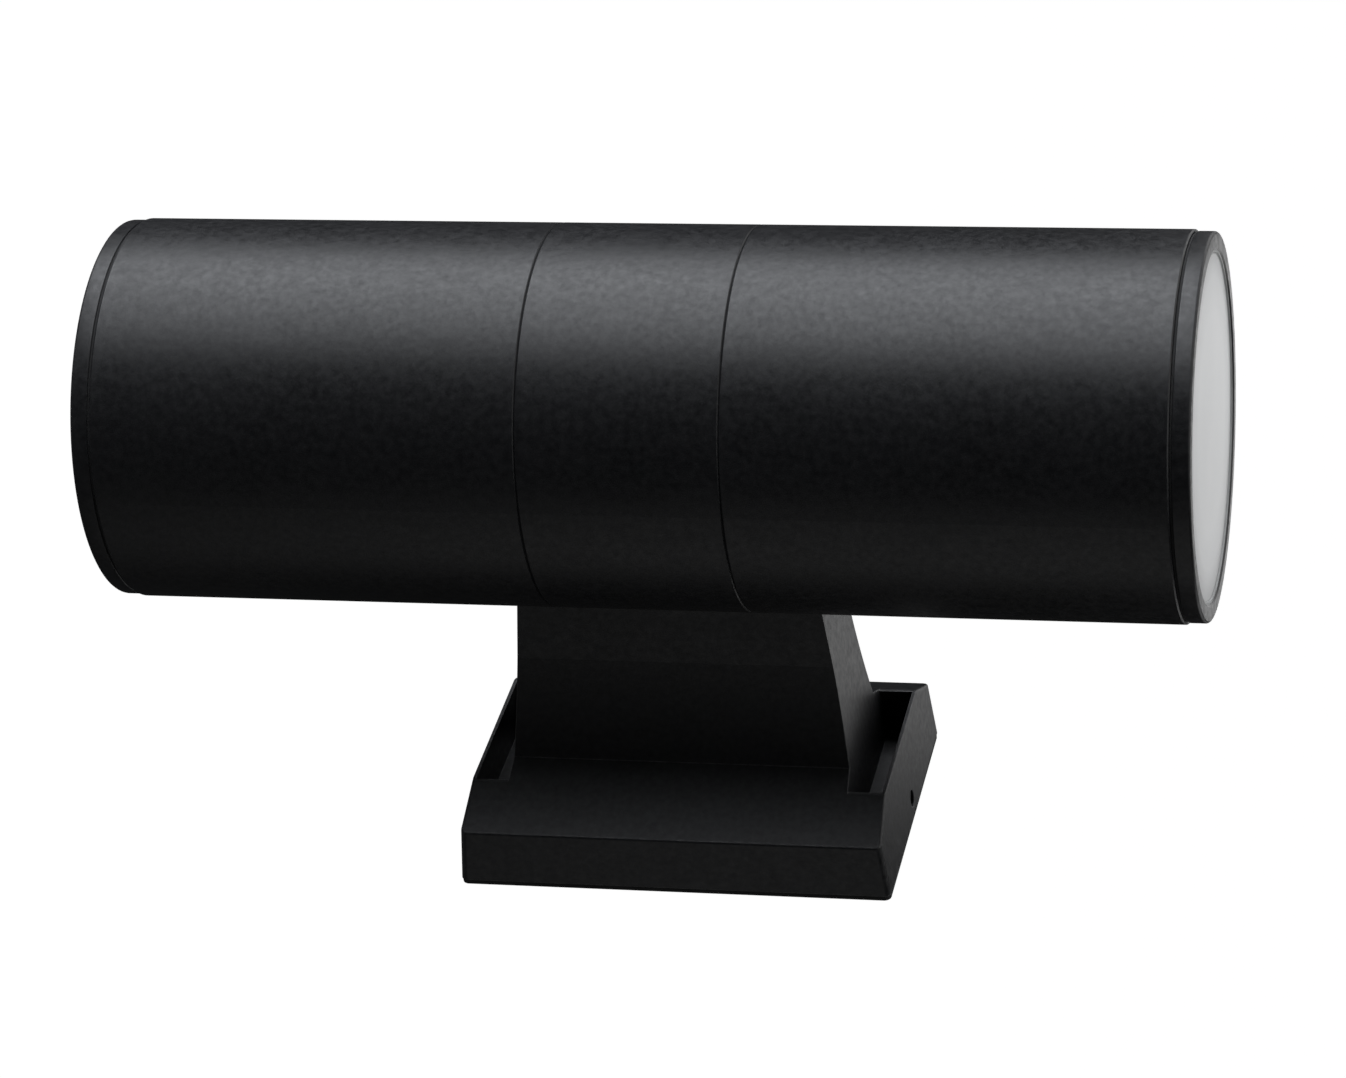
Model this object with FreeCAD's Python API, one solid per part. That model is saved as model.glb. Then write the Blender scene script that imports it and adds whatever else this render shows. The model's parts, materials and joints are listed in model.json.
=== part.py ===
import FreeCAD, Part

import math
import os

from FreeCAD import Vector

# Up-and-down tube wall light for two reflector lamps, as it hangs on a wall.
# Millimetres. +Z is up along the tube. The wall is the plane y = 0 and the light stands in -y.
# "depth" is the distance from the wall, so a point at a depth lies at y = -depth.
# Most lengths along the tube are counted from its middle, z = 0. The lower half mirrors the upper, but
# the lower lampholder stands a quarter turn round, so that the two pairs of foot screws miss each other.

# Tube and its three lengths
tube_diameter = 108.0
tube_wall = 2.5
lamp_length = 310.0
centre_length = 56.6
seam_chamfer = 0.4
axis_depth = 132.3

# Screwed end ring, its glass and what clamps the glass
ring_step = 0.5
ring_head = 5.0
ring_face = 5.0
ring_edge = 0.8
lip_thickness = 0.9
lip_edge = 0.5
skirt_wall = 1.65
skirt_length = 9.7
thread_clearance = 0.05
seal_thickness = 0.6
seal_air = 0.1
seal_inset = 0.4
glass_thickness = 4.0
glass_clearance = 0.15
glass_edge = 0.5
glass_gasket_thickness = 1.5
retainer_thickness = 2.0
retainer_face = 9.8

# Centre housing: outer band, spigots inside the tubes, web, screw bosses
band_wall = 5.0
spigot_length = 12.0
spigot_wall = 4.0
spigot_clearance = 0.05
joint_seal_width = 2.6
joint_seal_depth = 1.8
joint_seal_offset = 4.0
web_thickness = 5.0
web_notch_width = 20.0
web_notch_depth = 15.0
boss_radius = 6.0
boss_length = 7.0
neck_screw_spacing = 40.0
neck_wire_hole = 12.0

# Neck, from the base up to the saddle under the tube
saddle_gasket = 0.8
saddle_gasket_inset = 0.6
neck_half_depth = 14.6
neck_straight_from = 60.0
neck_flare_mid_half_depth = 15.9
neck_flare_mid = 48.0
neck_foot_half_depth = 19.8
neck_top_half_depth = 14.0
neck_half_length = 46.1
neck_end_taper = 0.106
neck_wall = 3.0
neck_plate = 6.0

# Base casting
base_length = 126.3
base_depth = 86.0
base_wall_height = 17.9
rim_height = 25.6
rim_depth = 54.6
end_taper = 0.1
base_wall = 3.0
base_corner = 2.0
base_crease = 0.8
pocket_width = 52.6
pocket_floor = 11.2
pocket_wall = 2.0
end_wall = 2.4
rim_wall = 1.0

# Wall bracket, pad and fixings
pad_thickness = 1.5
pad_inset = 0.3
bracket_thickness = 1.5
bracket_width = 60.0
bracket_length = 100.0
tab_width = 18.0
tab_height = 8.9
tab_gap = 0.4
slot_width = 5.5
slot_length = 16.0
slot_spacing = 70.0
cable_hole = 16.0
grommet_lip = 2.0
grommet_lip_thickness = 1.4
grommet_bore = 8.0
side_screw_depth = 6.1
side_screw = 5.0
side_screw_recess = 0.8
side_screw_socket = 2.5
side_boss_radius = 3.9
side_boss_length = 2.4
dog_point = 3.5
dog_point_length = 2.6
hole_clearance = 0.25

# Fasteners inside
neck_screw = 5.0
neck_screw_length = 16.0
small_screw = 4.0
holder_screw_length = 8.0
foot_screw_length = 6.0
neck_screw_head = 9.5
neck_screw_head_height = 3.5
small_screw_head = 7.6
small_screw_head_height = 2.8

# Lampholder and its bracket
bracket_sheet = 1.5
bracket_strap = 24.0
bracket_span = 39.0
bracket_foot = 13.0
holder_radius = 22.0
holder_length = 48.0
holder_bore = 28.8
holder_bore_depth = 28.0
holder_screw_spacing = 20.0
shell_thickness = 0.5
shell_length = 20.0
contact_radius = 5.0
contact_thickness = 1.0

# Reflector lamp
lamp_clearance = 4.0
lamp_to_retainer = 2.4
lamp_to_holder = 1.5
lamp_front_rim = 9.0
lamp_dome = 3.5
lamp_dome_steps = 4
lamp_rim_face = 5.5
lamp_lens_thickness = 2.0
lamp_shell = 2.0
lamp_throat = 14.6
lamp_collar = 6.0
lamp_overall = 92.0
cap_diameter = 26.2
cap_length = 22.0
cap_wall = 0.6
cap_insulator = 2.5
cap_tip_radius = 4.6
cap_tip = 2.0

# Terminal block and earth point on the bracket
terminal_length = 30.0
terminal_width = 14.0
terminal_height = 12.0
terminal_offset = 21.0
terminal_poles = 3
terminal_screw = 3.0
terminal_screw_sunk = 1.0
terminal_slit_width = 0.5
terminal_slit_depth = 0.6
earth_offset = 21.0
earth_tag_radius = 4.6
earth_tag_thickness = 0.8

# Worked out from the sizes above
tube_radius = tube_diameter / 2
tube_bore = tube_radius - tube_wall
half_length = lamp_length / 2
half_centre = centre_length / 2
ring_radius = tube_radius - ring_step
ring_opening = ring_radius - ring_face
skirt_radius = tube_bore - thread_clearance
skirt_bore = skirt_radius - skirt_wall
head_back = half_length - ring_head
tube_end = head_back - seal_thickness - seal_air
glass_front = half_length - lip_thickness
glass_back = glass_front - glass_thickness
glass_radius = skirt_bore - glass_clearance
gasket_back = glass_back - glass_gasket_thickness
retainer_back = gasket_back - retainer_thickness
spigot_radius = tube_bore - spigot_clearance
tube_back_depth = axis_depth - tube_radius
casting_back = pad_thickness
bracket_front = pad_thickness + bracket_thickness
slope = (rim_height - base_wall_height) / ((base_depth - rim_depth) / 2)
slope_length = math.hypot(1, slope)
end_half_length = base_length / 2
neck_plate_back = tube_back_depth - saddle_gasket - neck_plate
clear_radius = skirt_bore - retainer_face
lamp_radius = tube_bore - lamp_clearance
lamp_lens_radius = lamp_radius - lamp_rim_face
lamp_front = retainer_back - lamp_to_retainer
lamp_tip = lamp_front - lamp_overall
cap_end = lamp_tip + cap_tip + cap_insulator
cap_top = cap_end + cap_length
holder_mouth = cap_top - lamp_to_holder
holder_base = holder_mouth - holder_length
holder_foot = (bracket_span + bracket_foot) / 2


def polygon(points):
    return Part.Face(Part.makePolygon(points + points[:1]))


def turned(points):
    """Solid turned about the tube's axis, from its half section as (radius, height) points."""
    face = polygon([Vector(r, -axis_depth, z) for r, z in points])
    return face.revolve(Vector(0, -axis_depth, 0), Vector(0, 0, 1), 360)


def ring(outer, inner, low, high):
    return turned([(inner, low), (outer, low), (outer, high), (inner, high)])


def rod(radius, x, z, near, far):
    """Round bar square to the wall, from one depth to another."""
    return Part.makeCylinder(radius, far - near, Vector(x, -near, z), Vector(0, -1, 0))


def block(x_low, x_high, near, far, z_low, z_high):
    corner = Vector(x_low, -far, z_low)
    return Part.makeBox(x_high - x_low, far - near, z_high - z_low, corner)


def across(points, half):
    """Prism along the tube, from a side profile of (x, depth) points."""
    face = polygon([Vector(x, -depth, -half) for x, depth in points])
    return face.extrude(Vector(0, 0, 2 * half))


def along(points, half):
    """Prism across the light, from a front profile of (z, depth) points."""
    face = polygon([Vector(-half, -depth, z) for z, depth in points])
    return face.extrude(Vector(2 * half, 0, 0))


def both(points):
    """A profile's points and their mirror image, in order round a symmetric outline."""
    return points + [(-a, depth) for a, depth in reversed(points)]


def mirrored(shape):
    return shape.mirror(Vector(0, 0, 0), Vector(0, 0, 1))


def quarter_turned(shape, quarters=1):
    """A copy turned about the tube's axis by quarters of a turn."""
    copy = shape.copy()
    copy.rotate(Vector(0, -axis_depth, 0), Vector(0, 0, 1), 90 * quarters)
    return copy


def pair(shape):
    return Part.makeCompound([shape, mirrored(shape)])


def slot_cut(z, near, far):
    """Slot for a wall screw, along the tube."""
    half = (slot_length - slot_width) / 2
    radius = slot_width / 2
    ends = [rod(radius, 0, z + shift, near, far) for shift in (-half, half)]
    middle = block(-radius, radius, near, far, z - half, z + half)
    return middle.fuse(ends).removeSplitter()


def end_face(depth):
    """Outer end of the base at a depth: it leans in like any cast wall."""
    return end_half_length - end_taper * depth


def neck_end(depth):
    """Outer end of the neck, which runs on down as the inner side of each pocket."""
    return neck_half_length - neck_end_taper * (depth - neck_straight_from)


def slope_depth(x, inset=0.0):
    """Depth of the base's sloped panel at x, or of its inner face."""
    return base_wall_height + (base_depth / 2 - x) * slope - inset * slope_length


def core_profile(inset, top):
    """Half section across the neck: wall, sloped panel, flare and straight part up to a depth."""
    side = base_depth / 2 - inset
    foot = neck_foot_half_depth - inset
    points = [
        Vector(side, -casting_back, 0),
        Vector(side, -slope_depth(side, inset), 0),
        Vector(foot, -slope_depth(foot, inset), 0),
        Vector(neck_half_depth - inset, -neck_straight_from, 0),
        Vector(neck_top_half_depth - inset, -top, 0),
    ]
    middle = Vector(neck_flare_mid_half_depth - inset, -neck_flare_mid, 0)
    edges = [
        Part.makeLine(points[0], points[1]),
        Part.makeLine(points[1], points[2]),
        Part.Arc(points[2], middle, points[3]).toShape(),
        Part.makeLine(points[3], points[4]),
    ]
    return edges


def core_solid(inset, top):
    """Neck and the middle of the base under it, as one tapered solid."""
    right = core_profile(inset, top)
    left = [edge.mirror(Vector(0, 0, 0), Vector(1, 0, 0)) for edge in right]
    first = right[0].Vertexes[0].Point
    last = right[-1].Vertexes[-1].Point
    floor = Part.makeLine(first, Vector(-first.x, first.y, 0))
    roof = Part.makeLine(last, Vector(-last.x, last.y, 0))
    wire = Part.Wire(Part.__sortEdges__(right + left + [floor, roof]))
    body = Part.Face(wire).extrude(Vector(0, 0, base_length))
    body.translate(Vector(0, 0, -base_length / 2))
    lengths = both([(neck_end(casting_back) - inset, casting_back), (neck_end(top) - inset, top)])
    return body.common(along(lengths, base_depth))


def base_solid(inset, end_inset, top):
    """Low hip-roofed block of the base."""
    side = base_depth / 2 - inset
    shoulder = rim_depth / 2
    profile = both([(side, casting_back), (side, slope_depth(side, inset)), (shoulder, top)])
    lengths = both([(end_face(casting_back) - end_inset, casting_back), (end_face(top) - end_inset, top)])
    return across(profile, base_length).common(along(lengths, base_depth))


def pocket(side_add, floor, floor_wall, edge_wall, from_core):
    """Pocket between the neck and one end wall, or the casting round it when it is grown.

    The end wall left beside it goes from one thickness at the floor to another at the rim.
    """
    half = pocket_width / 2 + side_add
    high = rim_height + base_wall
    thinner = (floor_wall - edge_wall) / (rim_height - pocket_floor)
    inner = [(neck_end(floor) - from_core, floor), (neck_end(high) - from_core, high)]
    outer = [(end_face(depth) - edge_wall - thinner * (rim_height - depth), depth) for depth in (high, floor)]
    return along(inner + outer, half)


def long_crease(edge):
    """Whether an edge is the crease between the base's upright wall and its slope."""
    box = edge.BoundBox
    at_depth = abs(box.YMin + base_wall_height) < 0.01 and abs(box.YMax + base_wall_height) < 0.01
    return at_depth and box.ZLength > base_length / 2


def corner_edge(edge):
    """Whether an edge is one of the upright corners of the base."""
    box = edge.BoundBox
    at_side = abs(max(-box.XMin, box.XMax) - base_depth / 2) < 0.01
    return at_side and box.XLength < 0.01 and box.YLength > base_wall_height / 2


def base_casting():
    """Base and neck, one die casting: hollow from the back, with a pocket at each end."""
    shell = base_solid(0, 0, rim_height)
    cut = pocket(0, pocket_floor, end_wall, rim_wall, base_wall)
    shell = shell.cut(cut).cut(mirrored(cut))
    saddle = Part.makeCylinder(
        tube_radius + saddle_gasket, lamp_length, Vector(0, -axis_depth, -half_length), Vector(0, 0, 1)
    )
    core = core_solid(0, axis_depth - tube_radius / 2)
    shell = shell.fuse(core).cut(saddle).removeSplitter()
    shell = shell.makeFillet(base_corner, [e for e in shell.Edges if corner_edge(e)])
    shell = shell.makeFillet(base_crease, [e for e in shell.Edges if long_crease(e)])

    hollow = base_solid(base_wall, end_wall, rim_height - base_wall)
    grown = pocket(pocket_wall, pocket_floor - pocket_wall, -end_wall, -end_wall, base_wall)
    hollow = hollow.cut(grown).cut(mirrored(grown))
    hollow = hollow.fuse(core_solid(neck_wall, neck_plate_back))
    shell = shell.cut(hollow)

    boss_from = end_face(side_screw_depth) - end_wall - side_boss_length
    boss = Part.makeCylinder(
        side_boss_radius, side_boss_length + end_wall / 2, Vector(0, -side_screw_depth, boss_from)
    )
    tapped = Part.makeCylinder(
        side_screw / 2, base_wall * 4, Vector(0, -side_screw_depth, boss_from - base_wall)
    )
    for one in (boss, mirrored(boss)):
        shell = shell.fuse(one)
    for one in (tapped, mirrored(tapped)):
        shell = shell.cut(one)
    for z in (-neck_screw_spacing / 2, neck_screw_spacing / 2):
        shell = shell.cut(rod(neck_screw / 2 + hole_clearance, 0, z, neck_straight_from, axis_depth))
    return shell.cut(rod(neck_wire_hole / 2, 0, 0, neck_straight_from, axis_depth)).removeSplitter()


def neck_gasket():
    """Curved rubber sheet between the neck's saddle and the tube."""
    deep = tube_back_depth + base_wall
    half = neck_end(tube_back_depth) - saddle_gasket_inset
    width = neck_top_half_depth - saddle_gasket_inset
    sheet = block(-width, width, tube_back_depth - base_wall, deep, -half, half)
    sheet = sheet.common(ring(tube_radius + saddle_gasket, tube_radius, -half_length, half_length))
    for z in (-neck_screw_spacing / 2, neck_screw_spacing / 2):
        sheet = sheet.cut(rod(neck_screw / 2 + hole_clearance, 0, z, 0, axis_depth))
    return sheet.cut(rod(neck_wire_hole / 2, 0, 0, 0, axis_depth))


def wall_pad():
    """Foam pad under the base, cut out for the screws and the cable."""
    half = end_half_length - pad_inset
    side = base_depth / 2 - pad_inset
    pad = block(-side, side, 0, pad_thickness, -half, half)
    upright = [e for e in pad.Edges if e.BoundBox.YLength > pad_thickness / 2]
    pad = pad.makeFillet(base_corner, upright)
    for z in (-slot_spacing / 2, slot_spacing / 2):
        pad = pad.cut(slot_cut(z, 0, pad_thickness))
    return pad.cut(rod(cable_hole / 2 + grommet_lip, 0, 0, 0, pad_thickness))


def wall_bracket():
    """Steel strap screwed to the wall, with a bent tab at each end for the side screws."""
    half = bracket_length / 2
    plate = block(-bracket_width / 2, bracket_width / 2, pad_thickness, bracket_front, -half, half)
    upright = [e for e in plate.Edges if e.BoundBox.YLength > bracket_thickness / 2]
    plate = plate.makeFillet(base_corner * 2, upright)
    outer = end_face(side_screw_depth) - end_wall - side_boss_length - tab_gap
    foot = block(-tab_width / 2, tab_width / 2, pad_thickness, bracket_front, half - tab_width / 2, outer)
    tab = block(-tab_width / 2, tab_width / 2, pad_thickness, tab_height, outer - bracket_thickness, outer)
    hole = Part.makeCylinder(
        dog_point / 2 + hole_clearance, bracket_thickness * 4,
        Vector(0, -side_screw_depth, outer - 2 * bracket_thickness),
    )
    tongue = foot.fuse(tab).cut(hole)
    plate = plate.fuse([tongue, mirrored(tongue)]).removeSplitter()
    for z in (-slot_spacing / 2, slot_spacing / 2):
        plate = plate.cut(slot_cut(z, pad_thickness, bracket_front))
    plate = plate.cut(rod(cable_hole / 2, 0, 0, pad_thickness, bracket_front))
    plate = plate.cut(rod(small_screw / 2, -earth_offset, 0, pad_thickness, bracket_front))
    for z in (-terminal_length / 3, terminal_length / 3):
        plate = plate.cut(rod(terminal_screw / 2, terminal_offset, z, pad_thickness, bracket_front))
    return plate


def cable_grommet():
    """Rubber grommet in the bracket's cable hole."""
    wide = cable_hole / 2 + grommet_lip
    back = rod(wide, 0, 0, pad_thickness - grommet_lip_thickness, pad_thickness)
    waist = rod(cable_hole / 2, 0, 0, pad_thickness, bracket_front)
    front = rod(wide, 0, 0, bracket_front, bracket_front + grommet_lip_thickness)
    body = back.fuse([waist, front])
    return body.cut(rod(grommet_bore / 2, 0, 0, 0, bracket_front + 2 * grommet_lip_thickness))


def side_screw_solid():
    """Hexagon-socket set screw through the base's end wall, with its point in the bracket's tab."""
    outer = end_face(side_screw_depth) - side_screw_recess
    inner = end_face(side_screw_depth) - end_wall - side_boss_length
    shank = Part.makeCylinder(side_screw / 2, outer - inner, Vector(0, -side_screw_depth, inner))
    point = Part.makeCylinder(
        dog_point / 2, dog_point_length, Vector(0, -side_screw_depth, inner - dog_point_length)
    )
    turn = [math.radians(60 * k) for k in range(6)]
    reach = side_screw_socket / math.sqrt(3)
    corners = [Vector(reach * math.cos(a), reach * math.sin(a) - side_screw_depth, outer) for a in turn]
    socket = polygon(corners).extrude(Vector(0, 0, -side_screw_socket))
    return shank.fuse(point).cut(socket)


def pan_screw(diameter, length, head, head_height):
    """Screw along +Z with its head's underside at the origin."""
    shank = Part.makeCylinder(diameter / 2, length, Vector(0, 0, -length))
    return shank.fuse(Part.makeCylinder(head / 2, head_height))


def small_pan_screw(length):
    return pan_screw(small_screw, length, small_screw_head, small_screw_head_height)


def placed(shape, position, direction):
    """A copy of a shape made along +Z, moved to a place and turned to a direction."""
    copy = shape.copy()
    copy.Placement = FreeCAD.Placement(position, FreeCAD.Rotation(Vector(0, 0, 1), direction))
    return copy


def neck_screws():
    screw = pan_screw(neck_screw, neck_screw_length, neck_screw_head, neck_screw_head_height)
    half = neck_screw_spacing / 2
    wall_side = Vector(0, 1, 0)
    return Part.makeCompound(
        [placed(screw, Vector(0, -neck_plate_back, z), wall_side) for z in (-half, half)]
    )


def centre_housing():
    """Middle length of the tube: band, two spigots, web and the bosses the neck screws into."""
    band_bore = tube_radius - band_wall
    spigot_bore = spigot_radius - spigot_wall
    spigot_end = half_centre + spigot_length
    groove_low = half_centre + joint_seal_offset
    groove_high = groove_low + joint_seal_width
    groove_radius = spigot_radius - joint_seal_depth
    upper = [
        (band_bore, 0),
        (tube_radius, 0),
        (tube_radius, half_centre - seam_chamfer),
        (tube_radius - seam_chamfer, half_centre),
        (spigot_radius, half_centre),
        (spigot_radius, groove_low),
        (groove_radius, groove_low),
        (groove_radius, groove_high),
        (spigot_radius, groove_high),
        (spigot_radius, spigot_end),
        (spigot_bore, spigot_end),
        (spigot_bore, half_centre - seam_chamfer),
        (band_bore, half_centre - band_wall),
    ]
    lower = [(r, -z) for r, z in reversed(upper[2:])]
    body = turned(upper[1:] + lower)
    web = ring(band_bore + band_wall / 2, 0.0, -web_thickness / 2, web_thickness / 2)
    body = body.fuse(web)
    boss_deep = tube_back_depth + band_wall + boss_length
    for z in (-neck_screw_spacing / 2, neck_screw_spacing / 2):
        boss = rod(boss_radius, 0, z, tube_back_depth + band_wall / 2, boss_deep)
        body = body.fuse(boss).cut(rod(neck_screw / 2, 0, z, 0, boss_deep - boss_length / 5))
    notch_far = tube_back_depth + web_notch_depth
    half_notch = web_notch_width / 2
    half_web = web_thickness / 2
    notch = block(-half_notch, half_notch, tube_back_depth + band_wall, notch_far, -half_web, half_web)
    body = body.cut(notch).cut(rod(neck_wire_hole / 2, 0, 0, 0, tube_back_depth + web_notch_depth / 2))
    tapped = Part.makeCylinder(small_screw / 2, web_thickness, Vector(holder_foot, -axis_depth, -half_web))
    for quarters in range(4):
        body = body.cut(quarter_turned(tapped, quarters))
    return body


def joint_seal():
    """Rubber ring in the spigot's groove, squeezed by the tube."""
    low = half_centre + joint_seal_offset
    return ring(tube_bore, spigot_radius - joint_seal_depth, low, low + joint_seal_width)


def tube():
    """Extruded tube from the centre housing to the end ring."""
    lead = 2 * thread_clearance + seam_chamfer
    return turned([
        (tube_bore, half_centre),
        (tube_radius - seam_chamfer, half_centre),
        (tube_radius, half_centre + seam_chamfer),
        (tube_radius, tube_end - seam_chamfer),
        (tube_radius - seam_chamfer, tube_end),
        (tube_bore + lead, tube_end),
        (tube_bore, tube_end - lead),
    ])


def ring_seal():
    """Flat seal under the ring's head: the thin dark line beside the ring."""
    return ring(ring_radius - seal_inset, skirt_radius, tube_end + seal_air, head_back)


def end_ring():
    """Screwed ring: head with a lip over the glass, and the threaded skirt inside the tube."""
    skirt_end = head_back - skirt_length
    lip_back = glass_front
    return turned([
        (ring_opening + lip_edge, half_length),
        (ring_radius - ring_edge, half_length),
        (ring_radius - 0.3 * ring_edge, half_length - 0.3 * ring_edge),
        (ring_radius, half_length - ring_edge),
        (ring_radius, head_back + seam_chamfer / 2),
        (ring_radius - seam_chamfer / 2, head_back),
        (skirt_radius, head_back),
        (skirt_radius, skirt_end + ring_edge),
        (skirt_radius - ring_edge, skirt_end),
        (skirt_bore, skirt_end),
        (skirt_bore, lip_back),
        (ring_opening, lip_back),
        (ring_opening, half_length - lip_edge),
    ])


def glass():
    return turned([
        (0.0, glass_back),
        (glass_radius - glass_edge, glass_back),
        (glass_radius, glass_back + glass_edge),
        (glass_radius, glass_front - glass_edge),
        (glass_radius - glass_edge, glass_front),
        (0.0, glass_front),
    ])


def glass_gasket():
    return ring(glass_radius, clear_radius, gasket_back, glass_back)


def glass_retainer():
    """Flat ring screwed into the skirt from behind, which holds the glass against the lip."""
    return turned([
        (clear_radius, retainer_back + seam_chamfer),
        (clear_radius + seam_chamfer, retainer_back),
        (skirt_bore, retainer_back),
        (skirt_bore, gasket_back),
        (clear_radius, gasket_back),
    ])


def holder_bracket():
    """Bent steel strap that carries the lampholder off the web."""
    low = web_thickness / 2
    inside = bracket_span / 2 - bracket_sheet
    outside = bracket_span / 2
    foot = outside + bracket_foot
    top = holder_base
    section = [
        (foot, low), (foot, low + bracket_sheet), (outside, low + bracket_sheet), (outside, top),
        (-outside, top), (-outside, low + bracket_sheet), (-foot, low + bracket_sheet), (-foot, low),
        (-inside, low), (-inside, top - bracket_sheet), (inside, top - bracket_sheet), (inside, low),
    ]
    near = -axis_depth - bracket_strap / 2
    strap = polygon([Vector(x, near, z) for x, z in section]).extrude(Vector(0, bracket_strap, 0))
    for x in (-1, 1):
        at_foot = Vector(x * holder_foot, -axis_depth, low)
        at_top = Vector(x * holder_screw_spacing / 2, -axis_depth, top - bracket_sheet)
        for place in (at_foot, at_top):
            strap = strap.cut(Part.makeCylinder(small_screw / 2 + hole_clearance, bracket_sheet, place))
    return strap.cut(
        Part.makeCylinder(contact_radius, bracket_sheet, Vector(0, -axis_depth, top - bracket_sheet))
    )


def holder_screws():
    """Two screws up into the lampholder and two down into the web."""
    up = Vector(0, 0, 1)
    down = Vector(0, 0, -1)
    long_one = small_pan_screw(holder_screw_length)
    short_one = small_pan_screw(foot_screw_length)
    solids = []
    for x in (-1, 1):
        top = Vector(x * holder_screw_spacing / 2, -axis_depth, holder_base - bracket_sheet)
        foot = Vector(x * holder_foot, -axis_depth, web_thickness / 2 + bracket_sheet)
        solids += [placed(long_one, top, down), placed(short_one, foot, up)]
    return Part.makeCompound(solids)


def lampholder():
    """Glazed ceramic body of the screw lampholder."""
    bore = holder_bore / 2
    floor = holder_mouth - holder_bore_depth
    waist = holder_radius - 2 * bracket_sheet
    body = turned([
        (0.0, holder_base),
        (waist, holder_base),
        (holder_radius, holder_base + 2 * bracket_sheet),
        (holder_radius, holder_mouth - bracket_sheet),
        (holder_radius - bracket_sheet, holder_mouth),
        (bore, holder_mouth),
        (bore, floor),
        (0.0, floor),
    ])
    for x in (-1, 1):
        place = Vector(x * holder_screw_spacing / 2, -axis_depth, holder_base)
        body = body.cut(Part.makeCylinder(small_screw / 2, holder_screw_length, place))
    return body


def holder_shell():
    """Plated screw shell inside the ceramic."""
    bore = holder_bore / 2
    floor = holder_mouth - holder_bore_depth
    return ring(bore, bore - shell_thickness, floor, floor + shell_length + contact_thickness)


def holder_contact():
    """Sprung centre contact, pressed up by the lamp's tip."""
    floor = holder_mouth - holder_bore_depth
    stem = contact_radius / 2
    return turned([
        (0.0, floor), (stem, floor), (stem, lamp_tip - contact_thickness),
        (contact_radius, lamp_tip - contact_thickness), (contact_radius, lamp_tip), (0.0, lamp_tip),
    ])


def lamp_body():
    """Reflector lamp's housing: collar at the cap, cone and front rim."""
    rim_low = lamp_front - lamp_dome - lamp_front_rim
    collar_top = cap_top + lamp_collar
    floor = rim_low + lamp_front_rim - lamp_lens_thickness
    outside = [
        (lamp_throat, cap_top), (lamp_throat, collar_top), (lamp_radius, rim_low),
        (lamp_radius, lamp_front - lamp_dome), (lamp_lens_radius, lamp_front - lamp_dome),
    ]
    inside = [
        (lamp_lens_radius, floor), (lamp_lens_radius - lamp_shell, floor),
        (lamp_throat - lamp_shell, collar_top + lamp_shell), (0.0, collar_top + lamp_shell), (0.0, cap_top),
    ]
    return turned(outside + inside)


def lamp_lens():
    """Frosted front lens, slightly domed in even steps."""
    edge = lamp_front - lamp_dome
    back = edge - lamp_lens_thickness
    dome_radius = (lamp_lens_radius ** 2 + lamp_dome ** 2) / (2 * lamp_dome)
    half_angle = math.asin(lamp_lens_radius / dome_radius)
    crown = []
    for step in range(lamp_dome_steps + 1):
        angle = half_angle * (1 - step / lamp_dome_steps)
        height = lamp_front - dome_radius * (1 - math.cos(angle))
        crown.append((dome_radius * math.sin(angle), height))
    return turned([(0.0, back), (lamp_lens_radius, back)] + crown)


def lamp_cap():
    """Plated screw shell of the lamp, closed at the lamp's collar."""
    radius = cap_diameter / 2
    return turned([
        (radius - cap_wall, cap_end), (radius, cap_end), (radius, cap_top), (0.0, cap_top),
        (0.0, cap_top - cap_wall), (radius - cap_wall, cap_top - cap_wall),
    ])


def lamp_tip_contact():
    """Solder tip on the cap's insulator."""
    return ring(cap_tip_radius, 0.0, lamp_tip, lamp_tip + cap_tip)


def lamp_insulator():
    """Black glass between the screw shell and the tip."""
    return turned([
        (0.0, lamp_tip + cap_tip), (cap_tip_radius, lamp_tip + cap_tip),
        (cap_diameter / 2 - cap_wall, cap_end), (cap_diameter / 2 - cap_wall, cap_end + cap_insulator),
        (0.0, cap_end + cap_insulator),
    ])


def terminal_block():
    """Three-pole screw terminal on the bracket."""
    half = terminal_length / 2
    side = terminal_width / 2
    top = bracket_front + terminal_height
    body = block(terminal_offset - side, terminal_offset + side, bracket_front, top, -half, half)
    pitch = terminal_length / terminal_poles
    for pole in range(terminal_poles):
        z = (pole - (terminal_poles - 1) / 2) * pitch
        wire_way = Part.makeCylinder(
            terminal_screw / 2, terminal_width,
            Vector(terminal_offset - side, -bracket_front - terminal_height / 3, z), Vector(1, 0, 0),
        )
        body = body.cut(wire_way)
        for x in (-side / 2, side / 2):
            body = body.cut(rod(terminal_screw / 2, terminal_offset + x, z, top - terminal_height / 2, top))
    for pole in range(1, terminal_poles):
        z = (pole - terminal_poles / 2) * pitch
        slit = terminal_screw / 4
        gap_floor = top - terminal_height / 4
        body = body.cut(block(
            terminal_offset - side, terminal_offset + side, gap_floor, top, z - slit, z + slit
        ))
    return body


def terminal_screws():
    """The block's clamping screws, one at each end of each pole."""
    side = terminal_width / 2
    top = bracket_front + terminal_height
    head = top - terminal_screw_sunk
    half_slit = terminal_slit_width / 2
    pitch = terminal_length / terminal_poles
    solids = []
    for pole in range(terminal_poles):
        z = (pole - (terminal_poles - 1) / 2) * pitch
        for middle in (terminal_offset - side / 2, terminal_offset + side / 2):
            screw = rod(terminal_screw / 2, middle, z, top - terminal_height / 2, head)
            slit = block(
                middle - terminal_screw, middle + terminal_screw,
                head - terminal_slit_depth, head, z - half_slit, z + half_slit,
            )
            solids.append(screw.cut(slit))
    return Part.makeCompound(solids)


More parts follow.
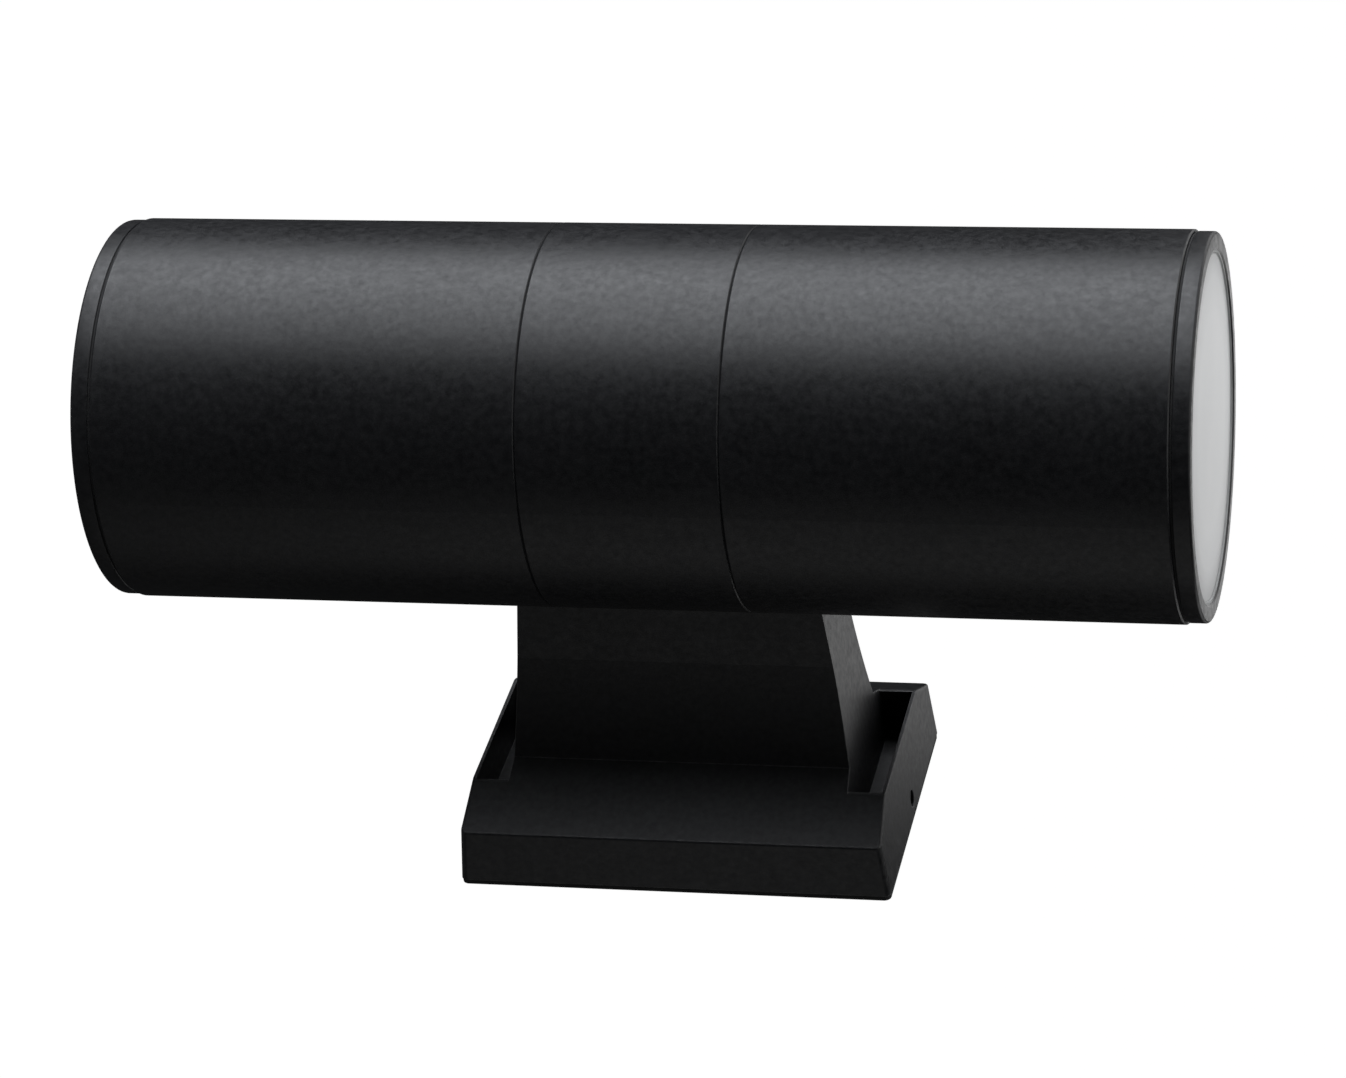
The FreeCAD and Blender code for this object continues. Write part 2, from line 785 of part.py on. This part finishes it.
def earth_tag():
    """Ring tag under the earth screw."""
    front = bracket_front + earth_tag_thickness
    tag = rod(earth_tag_radius, -earth_offset, 0, bracket_front, front)
    half = earth_tag_radius / 2
    tail = block(-earth_offset - half, -earth_offset + half, bracket_front, front, 0, 3 * earth_tag_radius)
    return tag.fuse(tail).removeSplitter().cut(rod(small_screw / 2, -earth_offset, 0, 0, front))


def earth_screw():
    screw = small_pan_screw(bracket_thickness + earth_tag_thickness)
    seat = Vector(-earth_offset, -bracket_front - earth_tag_thickness, 0)
    return placed(screw, seat, Vector(0, -1, 0))


def pieces():
    made = {
        "wall_pad": wall_pad(),
        "wall_bracket": wall_bracket(),
        "cable_grommet": cable_grommet(),
        "terminal_block": terminal_block(),
        "terminal_screws": terminal_screws(),
        "earth_tag": earth_tag(),
        "earth_screw": earth_screw(),
        "base_casting": base_casting(),
        "side_screws": pair(side_screw_solid()),
        "neck_gasket": neck_gasket(),
        "neck_screws": neck_screws(),
        "centre_housing": centre_housing(),
    }
    halves = {
        "tube": tube(),
        "joint_seal": joint_seal(),
        "ring_seal": ring_seal(),
        "end_ring": end_ring(),
        "glass": glass(),
        "glass_gasket": glass_gasket(),
        "glass_retainer": glass_retainer(),
        "holder_bracket": holder_bracket(),
        "holder_screws": holder_screws(),
        "lampholder": lampholder(),
        "holder_shell": holder_shell(),
        "holder_contact": holder_contact(),
        "lamp_body": lamp_body(),
        "lamp_lens": lamp_lens(),
        "lamp_cap": lamp_cap(),
        "lamp_insulator": lamp_insulator(),
        "lamp_tip": lamp_tip_contact(),
    }
    crossed = ("holder_bracket", "holder_screws", "lampholder")
    for name, shape in halves.items():
        made["upper_" + name] = shape
        made["lower_" + name] = mirrored(quarter_turned(shape) if name in crossed else shape)
    return made


os.makedirs("parts", exist_ok=True)
for name, shape in pieces().items():
    shape.exportStep("parts/" + name + ".step")
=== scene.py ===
import json
import math

import bpy
from mathutils import Matrix, Vector


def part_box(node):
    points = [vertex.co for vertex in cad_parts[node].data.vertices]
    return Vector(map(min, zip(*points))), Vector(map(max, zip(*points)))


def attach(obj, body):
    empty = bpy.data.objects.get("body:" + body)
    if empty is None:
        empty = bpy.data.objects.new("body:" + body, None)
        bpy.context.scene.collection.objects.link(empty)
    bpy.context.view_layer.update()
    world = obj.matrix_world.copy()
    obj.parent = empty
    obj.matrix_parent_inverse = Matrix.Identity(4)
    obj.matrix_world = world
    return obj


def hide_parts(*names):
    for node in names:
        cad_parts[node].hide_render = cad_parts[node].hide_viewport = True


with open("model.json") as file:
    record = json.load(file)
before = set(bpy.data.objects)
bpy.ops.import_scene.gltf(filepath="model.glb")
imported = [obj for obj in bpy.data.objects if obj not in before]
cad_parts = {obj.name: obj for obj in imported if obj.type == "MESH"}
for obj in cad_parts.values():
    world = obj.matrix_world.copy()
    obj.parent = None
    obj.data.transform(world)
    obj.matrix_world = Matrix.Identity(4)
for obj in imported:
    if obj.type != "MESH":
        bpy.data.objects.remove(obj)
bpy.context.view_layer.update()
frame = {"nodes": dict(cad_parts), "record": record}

# Looks of the tube wall light. Metres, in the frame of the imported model: the wall is y = 0, the light
# stands in -y, and +Z is up along the tube. The picture has the camera rolled, with +Z to the right.

mm = 0.001
white = (1.0, 1.0, 1.0)

# Places that the looks need
tube_low, tube_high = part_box("upper_tube")
axis_y = (tube_low.y + tube_high.y) / 2
aim_share = 0.8          # of the way from the wall to the tube's axis
middle = Vector((0.0, axis_y * aim_share, 0.0))
ring_middle = Vector((0.0, axis_y, tube_high.z))

# Camera: place, line of sight and the direction that is right in the picture
picture_width = 1346
camera_focal_pixels = 4939.28
camera_sensor = 36.0
camera_place = Vector((1.16358, -0.80932, 0.31021))
camera_sight = Vector((-0.8302, 0.51159, -0.22148))
camera_right = Vector((-0.2016, 0.09489, 0.97486))


def picture_axes():
    """Directions right, up and out of the picture, towards the camera."""
    out = -camera_sight.normalized()
    right = (camera_right - camera_right.dot(out) * out).normalized()
    return right, out.cross(right), out


def make_camera():
    right, up, out = picture_axes()
    data = bpy.data.cameras.new("camera")
    data.sensor_width = camera_sensor
    data.lens = camera_focal_pixels * camera_sensor / picture_width
    camera = bpy.data.objects.new("camera", data)
    turn = Matrix((right, up, out)).transposed().to_4x4()
    camera.matrix_world = Matrix.Translation(camera_place) @ turn
    bpy.context.scene.collection.objects.link(camera)
    bpy.context.scene.camera = camera


# Lights. A level is the brightness of a white surface at the target that faces the light.
wide_distance = 1.7      # of the keys, the fill and the lights at the picture's right

# Bank of keys over the tube: degrees round it from the camera's side, and level
key_bank = ((50.0, 0.215), (70.0, 0.205), (90.0, 0.30))
key_size = 0.9
key_tint = (0.93, 0.955, 1.0)
key_reach = 0.7          # added towards -Z, so that the highlight is even along the tube

# Weak fill under the tube
fill_angle = -79.0
fill_size = 1.6
fill_level = 0.075

# Lights at the picture's right, on the glass and on the end of the base: name, direction as right, up
# and out of the picture, size, level
right_lights = (
    ("side", (0.9, 0.3, 0.3), 2.4, 0.53),
    ("low_side", (0.6, -0.6, -0.6), 0.9, 0.07),
)

# Near lights that graze the upper ring: name, direction, distance, size, level
ring_lights = (
    ("graze_low", (-0.83, 0.51, 0.22), 0.4, 0.2, 0.055),
    ("graze_near", (-0.83, 0.51, 0.22), 0.28, 0.14, 0.05),
    ("graze_high", (-0.83, 0.2, 0.25), 0.35, 0.2, 0.03),
    ("over_ring", (-0.83, -0.3, 0.35), 0.35, 0.25, 0.17),
)

# World and floor
ambient_tint = (0.9, 0.95, 1.0)
ambient_level = 0.01
floor_height = -1.5
floor_half = 60.0
floor_grey = 0.3


def softbox(name, target, direction, distance, size, level, tint=white, reach=0.0):
    """Area light that gives a facing white surface at the target that level.

    reach makes it that much longer towards -Z, as bright as the rest of it.
    """
    data = bpy.data.lights.new(name, "AREA")
    data.shape = "RECTANGLE"
    data.size = size
    data.size_y = size + reach
    data.energy = level * (math.pi * distance) ** 2 * (size + reach) / size
    data.color = tint
    lamp = bpy.data.objects.new(name, data)
    away = Vector(direction).normalized()
    lamp.location = target + away * distance - Vector((0.0, 0.0, reach / 2))
    lamp.rotation_euler = away.to_track_quat("Z", "Y").to_euler()
    lamp.visible_camera = False
    bpy.context.scene.collection.objects.link(lamp)


def make_lights():
    right, up, out = picture_axes()

    def round_tube(degrees):
        turn = math.radians(degrees)
        return math.cos(turn) * out + math.sin(turn) * up

    for degrees, level in key_bank:
        name = "key_%d" % degrees
        softbox(name, middle, round_tube(degrees), wide_distance, key_size, level, key_tint, key_reach)
    softbox("fill", middle, round_tube(fill_angle), wide_distance, fill_size, fill_level)
    for name, (rightwards, upwards, outwards), size, level in right_lights:
        direction = rightwards * right + upwards * up + outwards * out
        softbox(name, middle, direction, wide_distance, size, level)
    for name, direction, distance, size, level in ring_lights:
        softbox(name, ring_middle, direction, distance, size, level)


def make_world():
    """Faint light from all round. Camera rays see white."""
    world = bpy.data.worlds.new("studio")
    world.use_nodes = True
    tree = world.node_tree
    tree.nodes.clear()
    path = tree.nodes.new("ShaderNodeLightPath")
    dim = tree.nodes.new("ShaderNodeBackground")
    dim.inputs["Color"].default_value = (*ambient_tint, 1.0)
    dim.inputs["Strength"].default_value = ambient_level
    seen = tree.nodes.new("ShaderNodeBackground")
    seen.inputs["Color"].default_value = (*white, 1.0)
    seen.inputs["Strength"].default_value = 1.0
    mix = tree.nodes.new("ShaderNodeMixShader")
    out = tree.nodes.new("ShaderNodeOutputWorld")
    tree.links.new(path.outputs["Is Camera Ray"], mix.inputs["Fac"])
    tree.links.new(dim.outputs["Background"], mix.inputs[1])
    tree.links.new(seen.outputs["Background"], mix.inputs[2])
    tree.links.new(mix.outputs["Shader"], out.inputs["Surface"])
    bpy.context.scene.world = world


def make_floor():
    """Large pale floor far under the light. Camera rays see it lifted to white, with the shadow left in."""
    mesh = bpy.data.meshes.new("floor")
    corners = ((-1, -1), (1, -1), (1, 1), (-1, 1))
    places = [(x * floor_half, y * floor_half, floor_height) for x, y in corners]
    mesh.from_pydata(places, [], [(0, 1, 2, 3)])
    floor = bpy.data.objects.new("floor", mesh)
    bpy.context.scene.collection.objects.link(floor)
    made = bpy.data.materials.new("floor_pale")
    made.use_nodes = True
    tree = made.node_tree
    tree.nodes.clear()
    diffuse = tree.nodes.new("ShaderNodeBsdfDiffuse")
    diffuse.inputs["Color"].default_value = (floor_grey, floor_grey, floor_grey, 1.0)
    lift = tree.nodes.new("ShaderNodeEmission")
    lift.inputs["Color"].default_value = (*white, 1.0)
    path = tree.nodes.new("ShaderNodeLightPath")
    both = tree.nodes.new("ShaderNodeAddShader")
    out = tree.nodes.new("ShaderNodeOutputMaterial")
    tree.links.new(path.outputs["Is Camera Ray"], lift.inputs["Strength"])
    tree.links.new(diffuse.outputs["BSDF"], both.inputs[0])
    tree.links.new(lift.outputs["Emission"], both.inputs[1])
    tree.links.new(both.outputs["Shader"], out.inputs["Surface"])
    mesh.materials.append(made)


# Materials
noise_low, noise_high = 0.3, 0.7         # most of a noise lies between these
bevel_samples = 6
edge_full, edge_none = 0.88, 0.995       # cosines of the turn from plain to rounded normal at an edge


class Finish:
    """A material in the making: a Principled shader, object coordinates and short ways to add nodes."""

    def __init__(self, name, roughness=0.5, metallic=0.0):
        self.made = bpy.data.materials.new(name)
        self.made.use_nodes = True
        self.tree = self.made.node_tree
        self.shader = self.tree.nodes["Principled BSDF"]
        self.shader.inputs["Roughness"].default_value = roughness
        self.shader.inputs["Metallic"].default_value = metallic
        self.where = self.tree.nodes.new("ShaderNodeTexCoord").outputs["Object"]

    def node(self, kind, **values):
        made = self.tree.nodes.new(kind)
        for key, value in values.items():
            if key in made.inputs:
                made.inputs[key].default_value = value
            else:
                setattr(made, key, value)
        return made

    def link(self, output, target):
        self.tree.links.new(output, target)

    def apart(self):
        """Outputs X, Y and Z of the object coordinates."""
        split = self.node("ShaderNodeSeparateXYZ")
        self.link(self.where, split.inputs["Vector"])
        return split.outputs

    def noise(self, size, detail=2.0, rough=0.5, stretch=None):
        """Noise whose lumps are about size metres, from 0 to 1."""
        made = self.node("ShaderNodeTexNoise", Scale=1 / size, Detail=detail, Roughness=rough)
        where = self.where
        if stretch is not None:
            mapping = self.node("ShaderNodeMapping")
            mapping.inputs["Scale"].default_value = stretch
            self.link(where, mapping.inputs["Vector"])
            where = mapping.outputs["Vector"]
        self.link(where, made.inputs["Vector"])
        return made.outputs["Fac"]

    def cells(self, size):
        """Cell pattern with cells of about size metres."""
        made = self.node("ShaderNodeTexVoronoi", Scale=1 / size)
        self.link(self.where, made.inputs["Vector"])
        return made.outputs

    def spread(self, value, low, high, start=noise_low, end=noise_high):
        """Low where the value is start or less, high where it's end or more, and in between evenly."""
        made = self.node("ShaderNodeMapRange")
        made.inputs["From Min"].default_value = start
        made.inputs["From Max"].default_value = end
        made.inputs["To Min"].default_value = low
        made.inputs["To Max"].default_value = high
        self.link(value, made.inputs["Value"])
        return made.outputs["Result"]

    def feed(self, values, sockets):
        """Sets or links each socket to its value: a number, a colour or an output."""
        for value, socket in zip(values, sockets):
            if isinstance(value, bpy.types.NodeSocket):
                self.link(value, socket)
            elif isinstance(value, tuple):
                socket.default_value = (*value, 1.0)
            else:
                socket.default_value = value

    def blend(self, factor, first, second):
        """Mix of two colours; either may be a colour or an output."""
        made = self.node("ShaderNodeMix", data_type="RGBA")
        colours = [s for s in made.inputs if s.type == "RGBA"]
        self.feed((factor, first, second), [made.inputs["Factor"]] + colours)
        return [s for s in made.outputs if s.type == "RGBA"][0]

    def maths(self, operation, *values):
        """Output of a maths node on values or outputs."""
        made = self.node("ShaderNodeMath", operation=operation)
        self.feed(values, made.inputs)
        return made.outputs["Value"]

    def colour(self, output):
        self.link(output, self.shader.inputs["Base Color"])

    def roughness(self, output):
        self.link(output, self.shader.inputs["Roughness"])

    def bump(self, height, distance, strength, normal=None):
        made = self.node("ShaderNodeBump", Strength=strength, Distance=distance)
        self.link(height, made.inputs["Height"])
        if normal is not None:
            self.link(normal, made.inputs["Normal"])
        self.link(made.outputs["Normal"], self.shader.inputs["Normal"])
        return made.outputs["Normal"]

    def edges(self, radius):
        """Rounded-edge normal, and how much of an edge a point is, from 0 to 1."""
        soft = self.node("ShaderNodeBevel", samples=bevel_samples)
        self.link(radius, soft.inputs["Radius"])
        plain = self.node("ShaderNodeNewGeometry")
        dot = self.node("ShaderNodeVectorMath", operation="DOT_PRODUCT")
        self.link(soft.outputs["Normal"], dot.inputs[0])
        self.link(plain.outputs["Normal"], dot.inputs[1])
        edge = self.spread(dot.outputs["Value"], 1.0, 0.0, start=edge_full, end=edge_none)
        return soft.outputs["Normal"], edge


# Black coat: the tube's looks change to the casting's in a band of y under the tube
tube_look_y = -64 * mm
cast_look_y = -52 * mm
tube_edge = 0.2 * mm
cast_edge = 0.5 * mm
coat_dark = (0.006, 0.0062, 0.007)
coat_pale = (0.010, 0.0103, 0.0115)
coat_lumps = (0.016, 0.0163, 0.0178)
# colour of the casting's edges and creases: partly rubbed wear, partly a painted highlight
coat_wear_and_highlight = (0.17, 0.172, 0.176)


def black_coat():
    """Fine-textured black powder coat: soft mottling, and the casting's edges lighter, partly rubbed wear and
    partly a painted highlight.
    """
    made = Finish("black_coat")
    cast = made.spread(made.apart()["Y"], 0.0, 1.0, start=tube_look_y, end=cast_look_y)
    soft, edge = made.edges(made.spread(cast, tube_edge, cast_edge))
    cloud = made.noise(38 * mm, detail=3.0)
    lumps = made.noise(2.2 * mm, detail=3.0, rough=0.55)
    fine = made.noise(0.5 * mm, detail=3.0, rough=0.6)
    coat = made.blend(made.spread(cloud, 0.0, 1.0), coat_dark, coat_pale)
    coat = made.blend(made.spread(lumps, 0.0, 0.5), coat, coat_lumps)
    patchy = made.spread(made.noise(3.5 * mm, detail=3.0), 0.25, 1.0)
    # the casting's edges and creases lighter: partly rubbed wear, partly a painted highlight along the
    # creases
    wear_and_highlight = made.maths("MULTIPLY", edge, made.maths("MULTIPLY", cast, patchy))
    made.colour(made.blend(wear_and_highlight, coat, coat_wear_and_highlight))
    made.roughness(made.spread(lumps, 0.36, 0.49))
    gloss = made.spread(made.noise(1.7 * mm), 0.44, 0.57)
    made.link(gloss, made.shader.inputs["Specular IOR Level"])
    relief = made.bump(lumps, 0.07 * mm, strength=0.55, normal=soft)
    made.bump(fine, 0.03 * mm, strength=0.5, normal=relief)
    return made.made


# Frosted glass: radii about a middle a little to one side of the axis, where painted shade turns it greyer
# towards its seat, deepest on the near side
# the painted shade's middle is shifted this far, so the near side is darker
glass_shade_shift_x = -2.5 * mm
glass_clear_radius = 30 * mm
glass_soft_radius = 40 * mm
glass_seat_radius = 51 * mm
glass_pale = ((0.80, 0.812, 0.82), (0.845, 0.852, 0.858))
glass_soft_shade = (0.60, 0.61, 0.62)
glass_seat_shade = (0.36, 0.365, 0.37)


def frosted_glass():
    """Acid-frosted glass: pale over the opening behind it, with painted shade greying it towards its seat,
    most on the near side.
    """
    made = Finish("frosted_glass", roughness=0.42)
    along = made.apart()
    flat = made.node("ShaderNodeCombineXYZ")
    for axis, place in (("X", glass_shade_shift_x), ("Y", axis_y)):
        made.link(made.maths("SUBTRACT", along[axis], place), flat.inputs[axis])
    away = made.node("ShaderNodeVectorMath", operation="LENGTH")
    made.link(flat.outputs["Vector"], away.inputs[0])
    radius = away.outputs["Value"]
    pale = made.blend(made.spread(made.noise(30 * mm), 0.0, 1.0), *glass_pale)
    # painted shade: greyer from the clear middle out to the seat under the ring's lip
    soft = made.spread(radius, 0.0, 0.35, start=glass_clear_radius, end=glass_soft_radius)
    seat = made.spread(radius, 0.0, 1.0, start=glass_soft_radius, end=glass_seat_radius)
    made.colour(made.blend(seat, made.blend(soft, pale, glass_soft_shade), glass_seat_shade))
    made.bump(made.noise(0.25 * mm), 0.02 * mm, strength=0.4)
    return made.made


def zinc_steel():
    """Bright zinc: faint crystals and a rolled grain."""
    made = Finish("zinc_steel", metallic=1.0)
    split = made.node("ShaderNodeSeparateColor")
    made.link(made.cells(5 * mm)["Color"], split.inputs["Color"])
    made.colour(made.blend(split.outputs["Red"], (0.56, 0.57, 0.59), (0.66, 0.67, 0.68)))
    rolled = made.noise(0.5 * mm, detail=3.0, stretch=(1.0, 1.0, 0.06))
    made.roughness(made.spread(rolled, 0.28, 0.46))
    made.bump(rolled, 0.01 * mm, strength=0.3)
    return made.made


def lamp_lens():
    """Lamp's front: diffusing plastic with a fine cell pattern."""
    made = Finish("lamp_lens", roughness=0.35)
    near = made.cells(2.2 * mm)["Distance"]
    made.colour(made.blend(near, (0.84, 0.85, 0.85), (0.72, 0.73, 0.74)))
    made.bump(near, 0.3 * mm, strength=0.5)
    return made.made


def clouded(name, dark, pale, roughness, cloud, relief, depth, strength, cloud_detail=2.0,
            relief_detail=2.0, relief_rough=0.5, metallic=0.0, coat=0.0, coat_roughness=0.03):
    """Paint, rubber, plastic or glaze: a cloud of two near colours, and a relief of its own."""
    made = Finish(name, roughness, metallic)
    made.shader.inputs["Coat Weight"].default_value = coat
    made.shader.inputs["Coat Roughness"].default_value = coat_roughness
    made.colour(made.blend(made.spread(made.noise(cloud * mm, cloud_detail), 0.0, 1.0), dark, pale))
    made.bump(made.noise(relief * mm, relief_detail, relief_rough), depth * mm, strength)
    return made.made


def grained(name, dark, pale, smooth, rough, grain, depth, strength):
    """Plain metal: colour, roughness from smooth to rough, and relief all follow one grain."""
    made = Finish(name, metallic=1.0)
    lumps = made.noise(grain * mm, detail=3.0)
    made.colour(made.blend(made.spread(lumps, 0.0, 1.0), dark, pale))
    made.roughness(made.spread(lumps, smooth, rough))
    made.bump(lumps, depth * mm, strength)
    return made.made


# Sizes of clouds, reliefs and grains, and the depth of reliefs, in millimetres
clouded_finishes = {
    "black_rubber": dict(
        dark=(0.011, 0.011, 0.011), pale=(0.022, 0.022, 0.023), roughness=0.82,
        cloud=9.0, cloud_detail=3.0,
        relief=0.5, relief_detail=3.0, relief_rough=0.65, depth=0.08, strength=0.6,
    ),
    "grey_silicone": dict(
        dark=(0.36, 0.37, 0.37), pale=(0.45, 0.46, 0.46), roughness=0.55,
        cloud=6.0, relief=0.7, depth=0.03, strength=0.4,
    ),
    "black_screw": dict(
        dark=(0.018, 0.018, 0.02), pale=(0.05, 0.05, 0.052), roughness=0.42, metallic=0.6,
        cloud=0.5, cloud_detail=3.0, relief=0.5, relief_detail=3.0, depth=0.015, strength=0.4,
    ),
    "white_ceramic": dict(
        dark=(0.75, 0.74, 0.70), pale=(0.83, 0.82, 0.79), roughness=0.18,
        coat=0.6, coat_roughness=0.06,
        cloud=7.0, cloud_detail=3.0, relief=3.0, depth=0.05, strength=0.25,
    ),
    "lamp_white": dict(
        dark=(0.74, 0.74, 0.72), pale=(0.82, 0.82, 0.80), roughness=0.4,
        cloud=4.0, cloud_detail=3.0, relief=0.6, depth=0.02, strength=0.4,
    ),
    "ivory_plastic": dict(
        dark=(0.68, 0.63, 0.50), pale=(0.76, 0.71, 0.58), roughness=0.45,
        cloud=5.0, relief=0.4, depth=0.02, strength=0.5,
    ),
    "black_glass": dict(
        dark=(0.008, 0.008, 0.01), pale=(0.02, 0.02, 0.022), roughness=0.12,
        cloud=3.0, relief=1.5, depth=0.03, strength=0.3,
    ),
}
grained_finishes = {
    "steel_screw": dict(
        dark=(0.48, 0.48, 0.48), pale=(0.62, 0.62, 0.61), smooth=0.24, rough=0.42,
        grain=0.6, depth=0.01, strength=0.3,
    ),
    "nickel_plate": dict(
        dark=(0.60, 0.58, 0.54), pale=(0.70, 0.68, 0.65), smooth=0.16, rough=0.3,
        grain=1.5, depth=0.008, strength=0.25,
    ),
    "brass": dict(
        dark=(0.58, 0.40, 0.16), pale=(0.74, 0.54, 0.24), smooth=0.22, rough=0.38,
        grain=1.2, depth=0.01, strength=0.3,
    ),
    "white_retainer": dict(
        dark=(0.60, 0.61, 0.62), pale=(0.70, 0.71, 0.72), smooth=0.3, rough=0.46,
        grain=0.8, depth=0.01, strength=0.3,
    ),
    "solder": dict(
        dark=(0.45, 0.45, 0.47), pale=(0.62, 0.62, 0.63), smooth=0.25, rough=0.5,
        grain=1.0, depth=0.04, strength=0.5,
    ),
}
finishes = {make.__name__: make() for make in (black_coat, frosted_glass, zinc_steel, lamp_lens)}
finishes.update({name: clouded(name, **values) for name, values in clouded_finishes.items()})
finishes.update({name: grained(name, **values) for name, values in grained_finishes.items()})

slot_of = {part["node"]: part["material_slot"] for part in frame["record"]["subparts"]}
body_of = {
    node: body for body, nodes in frame["record"]["behaviour"]["bodies"].items() for node in nodes
}


def finish_nodes():
    """Gives every piece of the frame the finish of its slot in the record."""
    for node, material_slot in slot_of.items():
        shown = frame["nodes"][node]
        shown.data.materials.clear()
        shown.data.materials.append(finishes[material_slot])


# Rings in finer detail than the solids, on the same places. Millimetres until the mesh is made.
# Heights are those of the upper end, along the tube
steps_round = 128
arc_steps = 4
sharp_angle = 28

ring_radius = 53.5
ring_opening = 48.5
ring_front = 155.0
ring_back = 150.0
ring_edge = 0.8
back_edge = 0.2
lip_edge = 0.5
lip_back = 154.1
skirt_radius = 51.45
skirt_bore = 49.8
skirt_end = 140.3

thread_pitch = 1.5
thread_depth = 0.8
thread_gap = 0.3         # between the head and the first turn
thread_rows = 7          # rows of points for each turn
groove_half = 0.42       # half the groove's width, in pitches
groove_floor = 0.85      # share of the full depth at which its floor is flat

bead_height = 0.45
bead_width = 1.1
bead_hollow = 0.42       # radius of its hollow face


def rounded(r, z, radius, start, end):
    """Points of an arc round a middle (r, z), between two angles in degrees from the radius towards +Z."""
    angles = [math.radians(start + (end - start) * step / arc_steps) for step in range(arc_steps + 1)]
    return [(r + radius * math.cos(a), z + radius * math.sin(a)) for a in angles]


def lathe(name, profile, node, over=False, material_slot=None):
    """Closed ring about the tube's axis from profile(angle), a loop of (radius, height) points.

    It stands for the node, or with a slot of its own it's an addition beside it. over turns it end for
    end, which keeps the hand of a thread.
    """
    sign = -1 if over else 1
    places = []
    for step in range(steps_round):
        angle = 2 * math.pi * step / steps_round
        for radius, height in profile(angle):
            x = radius * math.cos(angle) * mm
            y = radius * math.sin(angle) * mm
            places.append((x, axis_y + sign * y, sign * height * mm))
    count = len(profile(0.0))
    faces = []
    for step in range(steps_round):
        here, there = step * count, (step + 1) % steps_round * count
        for k in range(count):
            after = (k + 1) % count
            faces.append((here + k, here + after, there + after, there + k))
    mesh = bpy.data.meshes.new(name)
    mesh.from_pydata(places, [], faces)
    mesh.validate()
    mesh.shade_smooth()
    mesh.set_sharp_from_angle(angle=math.radians(sharp_angle))
    piece = bpy.data.objects.new(name, mesh)
    bpy.context.scene.collection.objects.link(piece)
    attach(piece, body_of[node])
    if material_slot is None:
        material_slot = slot_of[node]
        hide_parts(node)
    mesh.materials.append(finishes[material_slot])


def ring_profile(angle):
    """The screwed ring's section at an angle: head, threaded skirt, bore and the lip over the glass."""
    head = [(ring_opening + lip_edge, ring_front)]
    head += rounded(ring_radius - ring_edge, ring_front - ring_edge, ring_edge, 90, 0)
    head += [(ring_radius, ring_back + back_edge), (ring_radius - back_edge, ring_back)]
    head += [(skirt_radius, ring_back)]
    rows = []
    top, bottom = ring_back - thread_gap, skirt_end + ring_edge
    steps = round((top - bottom) / thread_pitch * thread_rows)
    for step in range(steps + 1):
        height = top + (bottom - top) * step / steps
        phase = (height / thread_pitch - angle / (2 * math.pi)) % 1.0
        groove = max(0.0, 1.0 - abs(phase - 0.5) / groove_half)
        fade = min(1.0, (top - height) / thread_pitch, (height - bottom) / (thread_pitch / 2))
        rows.append((skirt_radius - thread_depth * min(groove, groove_floor) * max(fade, 0.0), height))
    tail = [(skirt_radius - ring_edge, skirt_end), (skirt_bore, skirt_end), (skirt_bore, lip_back)]
    lip = [(ring_opening, lip_back), (ring_opening, ring_front - lip_edge)]
    return head + rows + tail + lip


def bead_profile(angle):
    """The bead of silicone between the glass and the ring's lip, with a hollow face, the same all round."""
    hollow = rounded(ring_opening - bead_width, lip_back + bead_height, bead_hollow, -90, 0)
    return [(ring_opening, lip_back + bead_height), (ring_opening, lip_back)] + hollow


def make_rings():
    for half, over in (("upper", False), ("lower", True)):
        lathe(half + "_screwed_ring", ring_profile, half + "_end_ring", over)
        lathe(half + "_glass_bead", bead_profile, half + "_glass", over, "grey_silicone")


finish_nodes()
make_rings()
make_camera()
make_lights()
make_world()
make_floor()
bpy.context.scene.view_settings.view_transform = "Standard"
